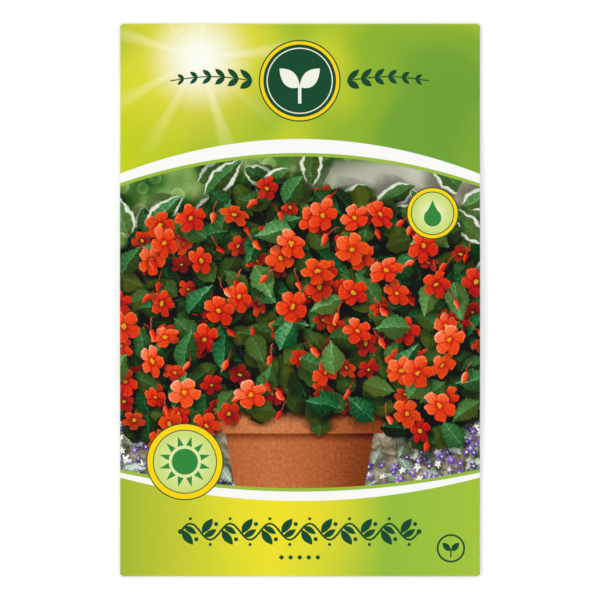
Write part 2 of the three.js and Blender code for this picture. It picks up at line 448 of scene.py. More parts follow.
# %% Nodes that are used often
def vector(operation, *values, **named):
    """Vector maths. A length or a dot product is the node's second output."""
    inputs = {**dict(enumerate(values)), **named}
    is_number = operation in ("LENGTH", "DOT_PRODUCT")
    settings = {"operation": operation}
    return paint_of(inputs.values()).node("ShaderNodeVectorMath", settings, inputs, int(is_number))


def split(value):
    """The x and y of a vector. A print is flat, so its z is never needed."""
    return [vector("DOT_PRODUCT", value, axis) for axis in ((1, 0, 0), (0, 1, 0))]


def mix(below, above, share):
    """above laid over below, where share is 1."""
    return share.paint.node("ShaderNodeMix", {"data_type": "RGBA"}, {0: share, 6: below, 7: above}, 2)


def ramp(value, stops):
    return value.paint.node("ShaderNodeValToRGB", {"stops": stops}, [value])


def noise(place, scale, detail=2.0, output=0):
    inputs = {"Vector": place, "Scale": scale, "Detail": detail}
    return place.paint.node("ShaderNodeTexNoise", {}, inputs, output)


def cells(place, scale, randomness=1.0):
    """How far off the middle of the nearest Voronoi cell is."""
    inputs = {"Vector": place, "Scale": scale, "Randomness": randomness}
    return place.paint.node("ShaderNodeTexVoronoi", {}, inputs, "Distance")


def channels(value):
    """Red, green and blue of a colour, as three numbers."""
    red = value.paint.node("ShaderNodeSeparateColor", (), [value])
    return [Wire(value.paint, socket) for socket in red.socket.node.outputs]


def dice(key):
    """Three random numbers, which are the same again wherever the key is the same."""
    settings = {"noise_dimensions": "1D"}
    return channels(key.paint.node("ShaderNodeTexWhiteNoise", settings, {"W": key}, "Color"))


# %% Node groups, for a recipe that is used many times
def node_group(name, takes, draw):
    """A group with those input sockets, and the one colour that draw returns from them."""
    tree = bpy.data.node_groups.new(name, "ShaderNodeTree")
    for label, kind in takes.items():
        tree.interface.new_socket(label, in_out="INPUT", socket_type="NodeSocket" + kind)
    tree.interface.new_socket("colour", in_out="OUTPUT", socket_type="NodeSocketColor")
    paint = Paint(tree)
    entry = paint.node("NodeGroupInput").socket.node
    given = SimpleNamespace(**{label: Wire(paint, entry.outputs[label]) for label in takes})
    paint.node("NodeGroupOutput", (), [draw(given)])
    print(f"{name}: {len(tree.nodes)} nodes.")
    return tree


# %% Ways from a number to a mask
def eased(value, low, high, start=0.0, end=1.0):
    """start at low and end at high, easing in and out. low may be the larger of the two. The curve
    keeps its ends beyond them, so the node's own clamp is off. That clamp would be a further node."""
    settings = {"interpolation_type": "SMOOTHSTEP", "clamp": False}
    inputs = {0: value, 1: low, 2: high, 3: start, 4: end}
    return value.paint.node("ShaderNodeMapRange", settings, inputs)


def inside(distance, edge=0.07):
    """1 where a distance to an outline is below 0, with an edge as soft as printed ink."""
    return eased(distance, edge, edge * -1)


def square(value):
    return value * value


def hypotenuse(x, y):
    """The square root of x * x + y * y."""
    return (x * x + y * y) ** 0.5


# %% [markdown]
# ## Scattering a motif
#
# Leaves and flowers are printed in layers, from the deepest to the nearest. Each layer cuts the
# picture into square cells, turned so that the rows don't show, and puts one motif in each. Its
# place, size, turn and tone are dice thrown for that cell. A motif stays within its cell, so no
# cell needs to know its neighbours. That makes a layer cheap, and several layers make a crowd.
# Each kind of motif is a node group, and each layer uses its group with settings of its own.

# %% One motif in each cell
TAU = 2 * np.pi
LIGHT_FROM = np.radians(125)
ROW_KEY, SEED_KEY = 127, 4099
MOUND_X = WIDTH / 2
EDGING_DIP = 0.0125
DOME_Y, DOME_HALF = 73, (51, 31)
LOBE_SIDE, LOBE_Y, LOBE_HALF = 34, 56, (16, 21)
LAYER_NUMBERS = "x y grain cos sin shift_x shift_y seed light cast_x cast_y pitch size tone keep grow edge"
LAYER_SOCKETS = {"ground": "Color", **dict.fromkeys(LAYER_NUMBERS.split(), "Float")}


def scatter(given, jitter):
    """Where the point is as seen from the motif in its cell, where the motif is, and its dice.
    The grid's axes are turned, and cos and sin hold that turn over the pitch. The key is a whole
    number, the column plus ROW_KEY times the row, and the seed moves it on for each layer."""
    at_x = given.x * given.cos + given.y * given.sin + given.shift_x
    at_y = given.y * given.cos - given.x * given.sin + given.shift_y
    cell_x, cell_y = whole(at_x), whole(at_y)
    key = cell_x + cell_y * ROW_KEY + given.seed * SEED_KEY
    across, up, luck = dice(key)
    spin, wide, shade = dice(key + 0.25)
    margin = 0.5 - jitter / 2
    middle_x = cell_x + across * jitter + margin
    middle_y = cell_y + up * jitter + margin
    from_x, from_y = middle_x - given.shift_x, middle_y - given.shift_y
    area = given.pitch * given.pitch
    motif = SimpleNamespace(spin=spin, wide=wide, shade=shade, luck=luck)
    motif.x = (at_x - middle_x) * given.pitch
    motif.y = (at_y - middle_y) * given.pitch
    motif.home_x = (from_x * given.cos - from_y * given.sin) * area
    motif.home_y = (from_x * given.sin + from_y * given.cos) * area
    return motif


def within_mound(x, y):
    """Below 1 inside the plant: a dome, and a lobe that trails down on each side of the pot."""
    side = abs(x - MOUND_X)
    dome = (square(side / DOME_HALF[0]) + square((y - DOME_Y) / DOME_HALF[1])) ** 0.5
    lobe = (square((side - LOBE_SIDE) / LOBE_HALF[0]) + square((y - LOBE_Y) / LOBE_HALF[1])) ** 0.5
    return least(dome, lobe)


def growing(motif, given, die, spread_by):
    """1 where the motif's middle lies inside the plant, by a limit that its die shifts, and where
    its cell is one of those that are kept."""
    in_plant = within_mound(motif.home_x, motif.home_y) + die * spread_by < given.grow
    return in_plant * (motif.luck < given.keep)


def layer(group, place, ground, seed, pitch, size, tone, keep, grow, edge=0.08):
    """Uses a motif's group for one layer. The seed sets the cells' turn, their shift and the dice.
    place holds x, y and the fine grain that all the layers share."""
    angle = seed * 1.13 % TAU
    light = LIGHT_FROM - angle
    x, y, grain = place
    inputs = dict(ground=ground, x=x, y=y, grain=grain, seed=seed, light=light, pitch=pitch)
    inputs.update(cos=np.cos(angle) / pitch, sin=np.sin(angle) / pitch)
    inputs.update(shift_x=0.37 * seed % 1, shift_y=0.71 * seed % 1)
    inputs.update(cast_x=-np.cos(light), cast_y=-np.sin(light))
    inputs.update(size=size, tone=tone, keep=keep, grow=grow, edge=edge)
    return ground.paint.node("ShaderNodeGroup", {"node_tree": group}, inputs)


def cast_shadow(given, motif, shown, size, depth, strength):
    """Darkens the ground in a soft disc, moved away from the light by depth millimetres."""
    x = motif.x - given.cast_x * depth
    y = motif.y - given.cast_y * depth
    reach = hypotenuse(x, y) / size
    return mix(given.ground, "#050f08", eased(reach, 1.1, 0.5) * shown * strength)


def spun(motif, angle):
    """The point as seen from axes turned by that angle about the motif's middle."""
    c, s = cosine(angle), sine(angle)
    return motif.x * c + motif.y * s, motif.y * c - motif.x * s


# %% Leaves
LEAF_GREENS = {
    0.00: "#020b07", 0.22: "#0a2414", 0.45: "#1b5030", 0.65: "#377d48", 0.84: "#74b078", 1.00: "#cbe3b4"
}
SILVER_GREENS = {0.00: "#1c2a20", 0.30: "#4d6353", 0.55: "#8ea392", 0.80: "#cdd8cd", 1.00: "#f4f7f0"}


def leaf_painter(greens, teeth, slimness, margin=1.5):
    """A function that draws leaves in those greens, with that depth of teeth, and that slim. They
    turn cream beyond that share of their half-width."""

    def draw(given):
        """Half-width is (1 - p * p) * (1 - 0.45 p), for p from -1 at the stalk to 1 at the tip.
        The halves tilt like an open book, so one of them catches the light."""
        motif = scatter(given, 0.34)
        shown = growing(motif, given, motif.wide, 0.14)
        ground = cast_shadow(given, motif, shown, given.size, 0.5, 0.6)

        spin = motif.spin * TAU
        x, y = spun(motif, spin)
        p = x / (given.size * (0.78 + 0.22 * motif.wide))
        across = abs(y)
        toothed = 1 + teeth * fraction(p * -5.5)
        half_width = (1 - p * p) * (1 - 0.45 * p) * toothed * given.size * slimness
        mask = inside(across - half_width, given.edge) * shown * (abs(p) < 1.0)

        book = eased(y, 0.15, -0.15, -1.0, 1.0) * sine(spin - given.light)
        vein_gap = abs(fraction(p * 3.2 - across / given.size * 1.3) - 0.5)
        veins = eased(vein_gap, 0.36, 0.5) * 0.10 + eased(across, 0.22, 0.0) * 0.20
        rounding = 0.12 * square(y / half_width)
        level = given.tone + 0.15 * book + 0.24 * (motif.shade - 0.5) + veins + 0.08 * p - rounding
        level = level + given.grain
        sunned = fraction(motif.luck * 7) * 0.2
        leaf = mix(ramp(level, greens), "#a9b84a", sunned)
        wavy_rim = across / half_width + 0.05 * sine(p * 13 + motif.shade * 9)
        leaf = mix(leaf, "#e9efd8", eased(wavy_rim, margin, margin + 0.12) * 0.9)
        return mix(ground, leaf, mask)

    return draw


leaves = node_group("Leaves", LAYER_SOCKETS, leaf_painter(LEAF_GREENS, 0.13, 0.5))
silver = node_group("Silver_leaves", LAYER_SOCKETS, leaf_painter(SILVER_GREENS, 0.9, 0.3))
striped = node_group("Striped_leaves", LAYER_SOCKETS, leaf_painter(LEAF_GREENS, 0.0, 0.36, 0.66))

# %% Flowers
PETAL_REDS = {
    0.00: "#240302", 0.22: "#861106", 0.45: "#cb250f", 0.64: "#ee461e", 0.82: "#ff8256", 1.00: "#ffd8bc"
}


def draw_flowers(given):
    """Open flowers of five round petals. The outline is size * (1 - 0.4 t ** 2.6), where t runs
    from 0 along each petal's middle to 1 at its sides. Each petal lies under the next one."""
    motif = scatter(given, 0.3)
    shown = growing(motif, given, motif.shade, 0.12)
    ground = cast_shadow(given, motif, shown, given.size, 1.1, 0.72)

    spin = motif.spin * TAU
    x, y = spun(motif, spin)
    x = x * (1 + 0.55 * motif.wide)
    angle = turn_of(y, x)
    reach = hypotenuse(x, y)
    petal = fraction(angle * (5 / TAU) + motif.luck * 7)
    t = abs(petal * 2 - 1)
    outline = given.size * (1 - 0.4 * t**2.6 + 0.05 * sine(angle * 2 + motif.shade * 9))
    mask = inside(reach - outline, given.edge) * shown

    share = reach / outline
    lit = cosine(angle + spin - given.light) * share
    tucked = eased(petal, 0.3, 0.0) * eased(share, 0.15, 0.5)
    veins = sine(petal * (TAU * 4.5)) * share
    level = given.tone + 0.15 * lit - 0.24 * tucked + 0.035 * veins + 0.10 * eased(share, 0.78, 1.0)
    level = level + 0.2 * (motif.shade - 0.5) - 0.28 * eased(share, 0.5, 0.12) + 0.5 * given.grain
    flower = ramp(level, PETAL_REDS)
    flower = mix(flower, "#ff7a2a", fraction(motif.luck * 11) * 0.28 * share)
    heart = inside(reach - 0.15 * given.size, 0.12)
    flower = mix(flower, "#f6c92c", heart * (0.6 + 0.4 * lit))
    return mix(ground, flower, mask)


flowers = node_group("Flowers", LAYER_SOCKETS, draw_flowers)


# %% Buds
def draw_buds(given):
    """A bud hangs from an arched red stalk. Its half-width is the square root of p * (1 - p), times
    1 - 0.5 p, and a seam runs down its middle where the petals will part."""
    motif = scatter(given, 0.3)
    shown = growing(motif, given, motif.shade, 0.12)
    ground = cast_shadow(given, motif, shown, given.size * 0.6, 0.7, 0.5)
    x, y = spun(motif, (motif.spin - 0.5) * 1.8 + given.light - LIGHT_FROM)
    bend = (motif.wide - 0.5) * square(y) / given.size
    stalk = most(abs(x - bend) - 0.16, most(y * -1, y - given.size))
    stalk_red = ramp(given.tone + x, {0.2: "#5a1410", 0.8: "#c8553a"})
    ground = mix(ground, stalk_red, inside(stalk, given.edge) * shown)
    p = y / given.size * -1.1
    half_width = most(p * (1 - p), 0.0) ** 0.5 * (1 - 0.5 * p) * given.size * 0.62
    round_side = x / (half_width + 0.01)
    level = given.tone + 0.1 - 0.22 * round_side - 0.15 * square(round_side)
    level = level - 0.16 * eased(abs(x), 0.16, 0.0) + 0.2 * (motif.shade - 0.5)
    mask = inside(abs(x) - half_width, given.edge) * shown * (p > 0) * (p < 1)
    return mix(ground, ramp(level, PETAL_REDS), mask)


buds = node_group("Buds", LAYER_SOCKETS, draw_buds)

# %% Small edging blossoms
EDGING = {0.0: "#4a2f96", 0.45: "#7d5fc8", 0.7: "#b9a6ea", 0.72: "#eef0e6", 1.0: "#ffffff"}


def draw_edging(given):
    """Tiny blossoms, size * (0.75 + 0.25 cos(5 a)) round. They keep below a line that dips in the
    middle and clear of the plant, and the die that a cell throws picks violet or white."""
    motif = scatter(given, 0.4)
    dip = given.grow + EDGING_DIP * square(motif.home_x - MOUND_X)
    clear = within_mound(motif.home_x, motif.home_y) > 0.98
    shown = (motif.home_y + 5 * motif.shade < dip) * (motif.luck < given.keep) * clear
    ground = cast_shadow(given, motif, shown, given.size, 0.4, 0.5)
    angle = turn_of(motif.y, motif.x)
    reach = hypotenuse(motif.x, motif.y)
    lobes = 0.75 + 0.25 * cosine(angle * 5 + motif.spin * TAU)
    outline = given.size * (0.75 + 0.25 * motif.wide) * lobes
    petals = ramp(motif.shade + 0.10 * cosine(angle - given.light), EDGING)
    petals = mix(petals, "#f4e36a", inside(reach - 0.22 * given.size, given.edge))
    return mix(ground, petals, inside(reach - outline, given.edge) * shown)


edging = node_group("Edging", LAYER_SOCKETS, draw_edging)

# %% [markdown]
# ## The picture
#
# The printed picture is a garden scene, painted from back to front: blurred shrubs and paving,
# striped leaves, small edging blossoms, a clay pot, then the plant. Behind everything is soft noise
# with discs of light in it, because a lens blurs what lies far off. The pot is a few straight edges
# with a cylinder's shading.

# %% Garden and paving, out of focus
GARDEN_GREENS = {0.25: "#0b2413", 0.42: "#1f4a22", 0.55: "#4d7a38", 0.68: "#8aab5e", 0.85: "#cfdba4"}
PAVING_GREYS = {0.25: "#4b4336", 0.45: "#81745b", 0.6: "#a8a18c", 0.8: "#d3d0c3"}


def garden(place):
    """Two noises make shrubs above, and paving below a line that wanders. A disc of light is what
    lies near the middle of a Voronoi cell, and a path shows through behind the plant."""
    x, y = split(place)
    blotches = noise(place, 0.085, 1.0)
    fine = noise(place, 0.6, 3.0)
    to_cell = cells(place, 0.2, 0.9)
    discs = eased(to_cell, 0.44, 0.36) * (0.35 + 0.3 * eased(to_cell, 0.2, 0.4))
    level = blotches * 0.95 + 0.10 * fine - 0.09 + 0.14 * eased(y, 70, 112) + 0.16 * discs
    greenery = ramp(level, GARDEN_GREENS)
    far = vector("MULTIPLY", vector("SUBTRACT", place, (74, 103, 0)), (1 / 24, 1 / 8, 0))
    far_path = eased(vector("LENGTH", far) + blotches * 1.2, 1.7, 1.2)
    greenery = mix(greenery, ramp(blotches * 0.6 + 0.4, PAVING_GREYS), far_path * 0.9)
    paving = ramp(fine * 0.75 + blotches * 0.25, PAVING_GREYS)
    joint = abs(fraction(y / 11 + 0.02 * x + blotches * 0.3) - 0.5)
    paving = mix(paving, "#3a352a", eased(joint, 0.06, 0.0) * 0.6)
    return mix(greenery, paving, eased(y + 14 * (blotches - 0.5), 44, 38))


# %% The clay pot
POT_RIM_TOP, POT_RIM, POT_FOOT = 45.5, 7.5, 14.0
POT_RIM_HALF, POT_FOOT_HALF, POT_FLARE = 22, 15.5, 4
CLAY = {0.0: "#3b1a0e", 0.35: "#8a4526", 0.6: "#bf6c40", 0.82: "#e09a68", 1.0: "#f3c9a0"}


def clay_pot(place, ground):
    """A tapered wall under a straight rim. Shading is the cosine of the turn round the pot."""
    x, y = split(place)
    side = x - MOUND_X
    under_rim = POT_RIM_TOP - POT_RIM
    wall_half = POT_FOOT_HALF + (y - POT_FOOT) * (POT_FLARE / (under_rim - POT_FOOT))
    wall = inside(abs(side) - wall_half, 0.15) * (y < under_rim) * (y > POT_FOOT)
    rim = inside(abs(side) - POT_RIM_HALF, 0.15) * (y < POT_RIM_TOP) * (y > under_rim)
    grain = noise(place, 1.1, 4.0)
    shade = 0.32 + 0.3 * cosine(side / wall_half * 1.25 + 0.5) + 0.3 * (grain - 0.5)
    wall_clay = ramp(shade - 0.28 * eased(y, under_rim - 2.6, under_rim), CLAY)
    rim_clay = ramp(shade + 0.06 + 0.12 * eased(abs(y - POT_RIM_TOP + 0.9), 0.8, 0.0), CLAY)
    shadow = square(side - 6) * 0.0018 + square(y - POT_FOOT - 4) * 0.02
    ground = mix(ground, "#1a1712", eased(shadow, 1.2, 0.2) * 0.55)
    return mix(mix(ground, wall_clay, wall), rim_clay, rim)


# %% The plant, from its deepest leaves to its nearest flowers
# Each layer: its motif, seed, the pitch of its cells and the motif's size in millimetres, its tone,
# the share of cells that are kept, how far out it grows, or how high up for the small blossoms, and
# how soft its edge is, where that isn't 0.08 mm.
PLANT = [
    (leaves, 1, 7.0, 4.6, 0.16, 1.0, 1.00, 0.3),
    (leaves, 2, 7.6, 4.9, 0.21, 0.9, 1.02, 0.25),
    (leaves, 10, 8.4, 4.8, 0.28, 0.8, 1.05, 0.2),
    (flowers, 3, 8.0, 2.9, 0.32, 0.55, 1.02, 0.2),
    (leaves, 4, 10.5, 4.9, 0.36, 0.95, 1.03),
    (flowers, 5, 9.0, 3.3, 0.44, 0.55, 1.04),
    (leaves, 6, 11.5, 5.2, 0.44, 0.85, 1.05),
    (buds, 13, 9.0, 2.9, 0.5, 0.5, 1.04),
    (flowers, 7, 10.5, 4.0, 0.55, 0.6, 1.02),
    (leaves, 8, 12.5, 5.6, 0.54, 0.45, 1.02),
    (buds, 14, 10.0, 3.3, 0.6, 0.45, 1.05),
    (flowers, 9, 12.0, 4.5, 0.64, 0.55, 0.98),
]
BEHIND = [
    (striped, 33, 11.0, 7.5, 0.45, 0.6, 1.5, 0.3),
    (striped, 36, 12.0, 8.0, 0.55, 0.5, 1.35, 0.25),
]
EDGING_PLANTS = [
    (silver, 31, 5.5, 3.2, 0.5, 0.8, 3.0),
    (edging, 21, 3.0, 1.25, 0.5, 0.8, 27),
    (silver, 37, 6.5, 3.4, 0.66, 0.45, 3.0),
    (edging, 22, 2.9, 1.2, 0.5, 0.75, 25),
]


def planted(layers, place, ground):
    """Each layer in turn, laid over what lies below it."""
    for motif, *settings in layers:
        ground = layer(motif, place, ground, *settings)
    return ground


def draw_picture(given):
    """The garden, the striped leaves, the edging, the pot and the plant. Slightly wavy air keeps
    outlines unruled, and a last node deepens the shadows as a printer would."""
    place = given.place
    x, y = split(place)
    ground = garden(place)
    waves = channels(noise(place, 0.45, 2.0, "Color"))
    wavy_x, wavy_y = (at + 1.7 * wave for at, wave in zip((x, y), waves))
    grain = (noise(place, 1.3, 4.0) - 0.5) * 0.42
    wavy = (wavy_x, wavy_y, grain)
    edged = planted(EDGING_PLANTS, wavy, ground)
    behind = planted(BEHIND, wavy, ground)
    ground = mix(ground, behind, eased(y, 70, 80))
    ground = mix(ground, edged, eased(y - EDGING_DIP * square(x - MOUND_X), 31, 24))
    ground = clay_pot(place, ground)
    deep = {0.35: "#020805", 0.6: "#0c2617", 0.75: "#1a4025"}
    depths = ramp(noise(place, 0.5, 3.0), deep)
    ground = mix(ground, depths, eased(within_mound(wavy_x, wavy_y), 1.04, 0.9))
    ground = planted(PLANT, wavy, ground)
    return ground.paint.node("ShaderNodeBrightContrast", (), [ground, 0.0, 0.03])


picture = node_group("Picture", {"place": "Vector"}, draw_picture)

# %% [markdown]
# ## Ornaments
#
# Plain ornaments liven up the print: a sprout in a roundel, two sprays of leaves, a vine scroll, a
# row of diamonds, a sun and a drop. Each is a few distances to simple outlines. A distance below
# zero is inside, so the least of two joins them and a mask comes from either.


# %% Distances to simple outlines, in millimetres
def ring_distance(place, centre):
    """The length of place - centre. Minus a radius, it is below 0 inside a disc."""
    return vector("LENGTH", vector("SUBTRACT", place, (*centre, 0)))


def from_centre(place, centre):
    """x and y, measured from the centre."""
    return split(vector("SUBTRACT", place, (*centre, 0)))


def leaf_distance(along, across, reach, plumpness=0.3):
    """|across| minus the half-width reach * plumpness * (1 - (2 along / reach - 1) ** 2)."""
    half_width = (1 - square(along * 2 / reach - 1)) * reach * plumpness
    return abs(across) - half_width


def stroke_distance(place, start, end, width):
    """Distance to the nearest point of a straight line, minus half its width."""
    start, end = np.array([*start, 0.0]), np.array([*end, 0.0])
    run = end - start
    from_start = vector("SUBTRACT", place, tuple(start))
    share = vector("DOT_PRODUCT", from_start, tuple(run / (run @ run)))
    share = least(most(share, 0.0), 1.0)
    nearest = vector("SCALE", tuple(run), Scale=share)
    return vector("LENGTH", vector("SUBTRACT", from_start, nearest)) - width / 2


def turned(x, y, degrees):
    """x and y as seen in axes turned by that angle."""
    c, s = np.cos(np.radians(degrees)), np.sin(np.radians(degrees))
    return x * c + y * s, y * c - x * s


def mirrored(place, centre):
    """Distance from a vertical axis, and height above the centre."""
    x, y = from_centre(place, centre)
    return abs(x), y


# %% A sprout, and a spray of leaves
def sprout_distance(place, centre, size):
    """A stem, and two leaves that rise from its middle at 35 degrees."""
    side, up = mirrored(place, centre)
    along, across = turned(side, up, 35)
    blade = leaf_distance(along, across - side * side * (0.25 / size), size)
    stem = most(side - 0.06 * size, abs(up + 0.25 * size) - 0.35 * size)
    return least(blade, stem)


def spray_distance(place, centre, start, step, count):
    """Pairs of leaves on both sides of two branches that leave the centre left and right."""
    side, up = mirrored(place, centre)
    s = side - start
    up = abs(up - 1.1 * sine(s * (np.pi / (step * count))))
    cell = whole(s / step)
    size = (1 - cell * (0.55 / count)) * step
    along, across = turned(s - cell * step, up, 38)
    blades = leaf_distance(along, across, size * 1.15, 0.21)
    branch = up - 0.16
    both = least(blades, branch)
    return most(both, abs(s - step * count / 2) - step * count / 2)


# %% A vine scroll
def vine_distance(place, centre, half_length, pitch, swing):
    """A stem that swings as a sine. In each bay it puts out two leaves and a berry, and a dot
    stands outside each crest and closes each end. Where the stem is steep, its height difference
    is divided by the slope's length, so its width stays even."""
    x, y = from_centre(place, centre)
    phase = x * (TAU / pitch)
    steepness = (1 + square(cosine(phase) * (swing * TAU / pitch))) ** 0.5
    stem = abs(y - sine(phase) * swing) / steepness - 0.27
    bay = fraction(x * (2 / pitch)) * (pitch / 2)
    into_bay = y * sign(sine(phase)) * -1
    at_x, at_y = bay - pitch * 0.05, into_bay + swing * 0.25
    along, across = turned(at_x, at_y, 62)
    large = leaf_distance(along, across + square(along) * (0.27 / pitch), pitch * 0.46, 0.22)
    along, across = turned(at_x - pitch * 0.03, at_y + swing * 0.3, 14)
    small = leaf_distance(along, across - square(along) * 0.06, pitch * 0.36, 0.22)
    berry = (square(bay - pitch * 0.40) + square(into_bay - swing * 0.95)) ** 0.5 - 0.55
    dot = (square(bay - pitch * 0.25) + square(into_bay + swing * 1.62)) ** 0.5 - 0.42
    motif = least(least(stem, least(large, small)), least(berry, dot))
    end_dot = (square(abs(x) - half_length) + square(y)) ** 0.5 - 0.65
    return least(most(motif, abs(x) - half_length), end_dot)


def diamonds_distance(place, centre, count, pitch):
    """A row of diamonds: |x| + |y| is the same all along a diamond's outline."""
    x, y = from_centre(place, centre)
    in_cell = fraction(x / pitch + count / 2) * pitch - pitch / 2
    return most(abs(in_cell) + abs(y) - pitch * 0.3, abs(x) - count * pitch / 2)


# %% A sun and a drop
def sun_distance(place, centre, radius):
    """A disc, and twelve rays whose width shrinks outwards."""
    x, y = from_centre(place, centre)
    reach = hypotenuse(x, y)
    turn = fraction(turn_of(y, x) * (12 / TAU)) - 0.5
    ray = abs(turn) * reach * (TAU / 12) - (radius - reach) * 0.32
    ray = most(ray, radius * 0.62 - reach)
    return least(reach - radius * 0.5, ray)


def drop_distance(place, centre, radius):
    """A circle below, and above it a half-width that closes to a tip."""
    side, up = mirrored(place, centre)
    ball = hypotenuse(side, up) - radius
    top = radius * 2.1
    share = least(most((top - up) / (top - 0.15 * radius), 0.0), 1.0)
    tip = side - radius * 0.98 * share**1.25
    return least(ball, most(tip, most(radius * 0.15 - up, up - top)))


# %% [markdown]
# ## The printed front
#
# The layout is a bright yellow-green ground, a picture window with an arched top and a hanging
# bottom edge, and white bands between them. Printed white is never as bright as the studio's
# paper, so every colour is held to a share of full brightness.

# %% Ground, rays and window
INK_DARK, INK_YELLOW, INK_CREAM = "#0b4a2b", "#ffd900", "#f4f6e4"
SUNRISE, FOOT_GLOW = (21.0, 137.0), (45, 20)
ROUNDEL, ROUNDEL_SPROUT = (WIDTH / 2, 131.0), (WIDTH / 2, 129.3)
SUN_BADGE, DROP_BADGE, DROP = (17.2, 30.5), (82.5, 96.0), (82.5, 94.8)
VINE, DIAMONDS = (WIDTH / 2, 12.0), (WIDTH / 2, 5.2)
SMALL_SEAL, SMALL_SPROUT = (87.4, 7.6), (87.4, 7.0)
# The window's top edge arches by ARCH_BOW and its bottom edge hangs by HANG_BOW, corner to middle.
ARCH_TOP, ARCH_BOW, HANG_LOW, HANG_BOW = 111, 8, 23.5, 5


def front_ground(place):
    """Yellow-green fields whose tones drift from side to side. Blurred patches of deeper green and
    of yellow lie in the head, as in a garden out of focus, and rays and a soft glow over them."""
    x, y = split(place)
    drift = x / WIDTH
    head = ramp(drift, {0.0: "#c9d31a", 0.45: "#97bb2a", 1.0: "#84ad30"})
    blurred = noise(place, 0.03, 1.0)
    head = mix(head, "#559a34", eased(blurred, 0.5, 0.32) * 0.55)
    head = mix(head, "#dfe02c", eased(blurred, 0.5, 0.68) * 0.75)
    away = vector("SUBTRACT", place, (*SUNRISE, 0))
    ray_x, ray_y = split(away)
    reach = vector("LENGTH", away)
    angle = turn_of(ray_y, ray_x)
    beams = sine(angle * 9 + 0.7) * 0.6 + sine(angle * 14) * 0.4
    beams = eased(beams, 0.25, 1.0) * eased(reach, 34, 4) * 0.55
    head = mix(head, "#f0e344", eased(reach, 30, 5) * 0.9)
    head = mix(head, "#fbf8b8", beams)
    head = mix(head, "#fffff2", eased(reach, 16, 1))
    foot = {0.0: "#a5ba31", 0.42: "#ece52a", 0.74: "#96c03a", 1.0: "#a5c63a"}
    glow = eased(ring_distance(place, FOOT_GLOW), 30, 0) * 0.8
    foot = mix(ramp(drift, foot), "#f7e426", glow)
    return mix(foot, head, y > HEIGHT / 2)


def badge(place, ground, centre, radius, icon):
    """A disc with a dark outline, a yellow ring and a pale middle that holds the icon."""
    reach = ring_distance(place, centre)
    ground = mix(ground, INK_DARK, inside(reach - radius))
    ground = mix(ground, INK_YELLOW, inside(reach - radius + 0.3))
    ground = mix(ground, INK_DARK, inside(reach - radius * 0.83))
    pale = mix("#f3f7c4", "#cfe07a", eased(reach, 0, radius * 0.8))
    ground = mix(ground, pale, inside(reach - radius * 0.83 + 0.25))
    return mix(ground, "#2f8a3a", inside(icon))


def front_ornaments(place, ground):
    """Roundel and sprays on the header, a badge in two corners of the picture, and the vine, the
    diamonds and a small seal below it."""
    reach = ring_distance(place, ROUNDEL)
    spray = spray_distance(place, ROUNDEL, 12.5, 3.6, 6)
    ground = mix(ground, INK_DARK, inside(spray))
    for radius, ink in [(10.8, INK_DARK), (10.45, INK_YELLOW), (9.6, INK_DARK)]:
        ground = mix(ground, ink, inside(reach - radius))
    ground = mix(ground, INK_CREAM, inside(abs(reach - 8.6) - 0.14))
    sprout = sprout_distance(place, ROUNDEL_SPROUT, 7.2)
    ground = mix(ground, INK_CREAM, inside(sprout))
    sun = sun_distance(place, SUN_BADGE, 6.9)
    ground = badge(place, ground, SUN_BADGE, 10.2, sun)
    drop = drop_distance(place, DROP, 2.3)
    ground = badge(place, ground, DROP_BADGE, 6.9, drop)
    vine = vine_distance(place, VINE, 31.5, 10.5, 2.1)
    diamonds = diamonds_distance(place, DIAMONDS, 5, 2.4)
    seal = abs(ring_distance(place, SMALL_SEAL) - 3.5) - 0.25
    sprig = sprout_distance(place, SMALL_SPROUT, 3.0)
    small = least(least(vine, diamonds), least(seal, sprig))
    return mix(ground, INK_DARK, inside(small))


def front_print(place):
    """The ground, then the bands, a thin green line and the picture, then the ornaments."""
    x, y = split(place)
    bow = square((x - WIDTH / 2) / (WIDTH / 2))
    arch, hang = ARCH_TOP - ARCH_BOW * bow, HANG_LOW + HANG_BOW * bow
    ground = front_ground(place)
    in_bands = inside(y - (arch + 4.6 - 1.2 * bow)) * inside((hang - 3.4 + 1.2 * bow) - y)
    ground = mix(ground, "#fdfdf8", in_bands)
    in_line = inside(y - (arch + 0.9)) * inside((hang - 0.9) - y)
    ground = mix(ground, "#9cbf3a", in_line)
    in_window = inside(y - arch) * inside(hang - y)
    scene_print = place.paint.node("ShaderNodeGroup", {"node_tree": picture}, [place])
    ground = mix(ground, scene_print, in_window)
    return front_ornaments(place, ground)


# %% [markdown]
# ## The printed back
#
# Nobody sees the back in a shop rack, but a gardener reads it: when to sow, how deep, how much
# sun. It holds a sowing calendar of twelve numbered boxes, three pictograms and some ruled lines
# for notes. The numerals are built as on a digital clock. Each of the seven strokes has a code
# number whose binary digits say which numerals light it.

# %% Numerals from seven strokes
# Each stroke: its two ends in a cell one wide and two high, and the numerals that light it.
STROKES = [
    ((0, 2), (1, 2), (0, 2, 3, 5, 6, 7, 8, 9)),
    ((1, 2), (1, 1), (0, 1, 2, 3, 4, 7, 8, 9)),
    ((1, 1), (1, 0), (0, 1, 3, 4, 5, 6, 7, 8, 9)),
    ((0, 0), (1, 0), (0, 2, 3, 5, 6, 8, 9)),
    ((0, 1), (0, 0), (0, 2, 6, 8)),
    ((0, 2), (0, 1), (0, 4, 5, 6, 8, 9)),
    ((0, 1), (1, 1), (2, 3, 4, 5, 6, 8, 9)),
]
# A stroke that isn't lit is put this much further off, so it falls outside every box.
FAR_OFF = 9


